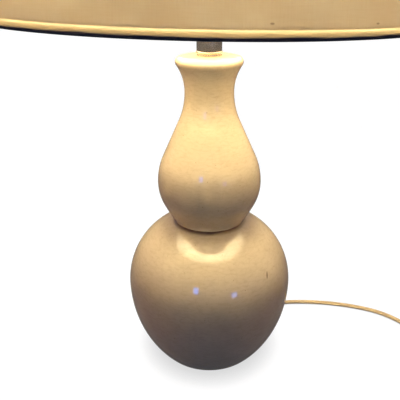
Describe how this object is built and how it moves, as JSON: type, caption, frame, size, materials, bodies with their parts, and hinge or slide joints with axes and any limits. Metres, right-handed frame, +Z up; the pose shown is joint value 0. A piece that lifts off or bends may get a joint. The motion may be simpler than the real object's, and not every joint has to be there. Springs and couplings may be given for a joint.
{
  "type": "table lamp",
  "caption": "Table lamp with a glazed double gourd body, a round fabric shade on a harp, a key socket with its bulb and a twin flat lead with a plug.",
  "frame": {"origin": "middle of the felt foot, on the table", "axes": "+Z up along the body and the pipe, +X to the right, -Y to the front where the key points"},
  "size_m": [0.6025, 0.4396, 0.661],
  "materials": {
    "glazed_ceramic": "glossy cream glaze with a faint speckle",
    "felt": "pressed wool felt",
    "zinc_steel": "zinc plated",
    "brushed_nickel": "brushed nickel plate",
    "nickel_sheet": "satin nickel plate",
    "card": "pressed card",
    "phenolic": "moulded phenolic",
    "brass": "bright",
    "bulb_cap": "rolled",
    "bulb_glass": "inside frosted, lit warm",
    "clear_glass": "clear",
    "black_glass": "black insulating glass",
    "tungsten": "dark wire",
    "linen": "slubbed linen on card, light shows through",
    "hem_tape": "the same linen, folded double",
    "ring_wire": "white enamelled wire",
    "lead": "clear gold twin flex",
    "plug": "moulded gold plug"
  },
  "bodies": {
    "lamp": {"gourd_body": "glazed_ceramic", "felt_pad": "felt", "base_washer": "zinc_steel", "lock_washer": "zinc_steel", "base_nut": "zinc_steel", "threaded_pipe": "zinc_steel", "seating_ring": "brushed_nickel", "neck_tube": "brushed_nickel", "harp_saddle": "nickel_sheet", "socket_cap": "nickel_sheet", "socket_shell": "nickel_sheet", "socket_liner": "card", "socket_core": "phenolic", "screw_shell": "brass", "centre_contact": "brass", "terminal_screws": "brass", "cord_inner": "lead", "cord_bushing": "phenolic", "cord_lead": "lead", "cord_coil": "lead", "cord_tail": "lead", "plug_body": "plug", "plug_blades": "brass"},
    "key": {"switch_shaft": "zinc_steel", "switch_knob": "phenolic"},
    "bulb": {"bulb_contact": "brass", "bulb_insulator": "black_glass", "bulb_base": "bulb_cap", "bulb_glass": "bulb_glass", "bulb_stem": "clear_glass", "bulb_filament": "tungsten"},
    "harp": {"harp": "nickel_sheet"},
    "ferrule_left": {"ferrule_left": "nickel_sheet"},
    "ferrule_right": {"ferrule_right": "nickel_sheet"},
    "swivel": {"swivel_stud": "nickel_sheet"},
    "shade": {"shade_shell": "linen", "shade_bottom_hem": "hem_tape", "shade_top_hem": "hem_tape", "shade_bottom_ring": "ring_wire", "shade_spider": "ring_wire"},
    "finial": {"finial": "brushed_nickel"}
  },
  "joints": [
    {"name": "key_turn", "type": "hinge", "parent": "lamp", "child": "key", "pos_m": [0, 0, 0.4165], "axis": [0, -1, 0], "continuous": true},
    {"name": "bulb_unscrew", "type": "slide", "parent": "lamp", "child": "bulb", "axis": [0, 0, 1], "range_m": [0, 0.028]},
    {"name": "harp_lift", "type": "slide", "parent": "lamp", "child": "harp", "axis": [0.0178, 0, 0.9998], "range_m": [0, 0.03]},
    {"name": "ferrule_left_slide", "type": "slide", "parent": "harp", "child": "ferrule_left", "axis": [0.0178, 0, 0.9998], "range_m": [0, 0.011]},
    {"name": "ferrule_right_slide", "type": "slide", "parent": "harp", "child": "ferrule_right", "axis": [0.0178, 0, 0.9998], "range_m": [0, 0.011]},
    {"name": "shade_swivel", "type": "hinge", "parent": "harp", "child": "swivel", "pos_m": [0.00415, 0, 0.62266], "axis": [0.0178, 0, 0.9998], "continuous": true},
    {"name": "shade_lift", "type": "slide", "parent": "swivel", "child": "shade", "axis": [0.0178, 0, 0.9998], "range_m": [0, 0.25]},
    {"name": "finial_unscrew", "type": "slide", "parent": "shade", "child": "finial", "axis": [0.0178, 0, 0.9998], "range_m": [0, 0.016]}
  ]
}
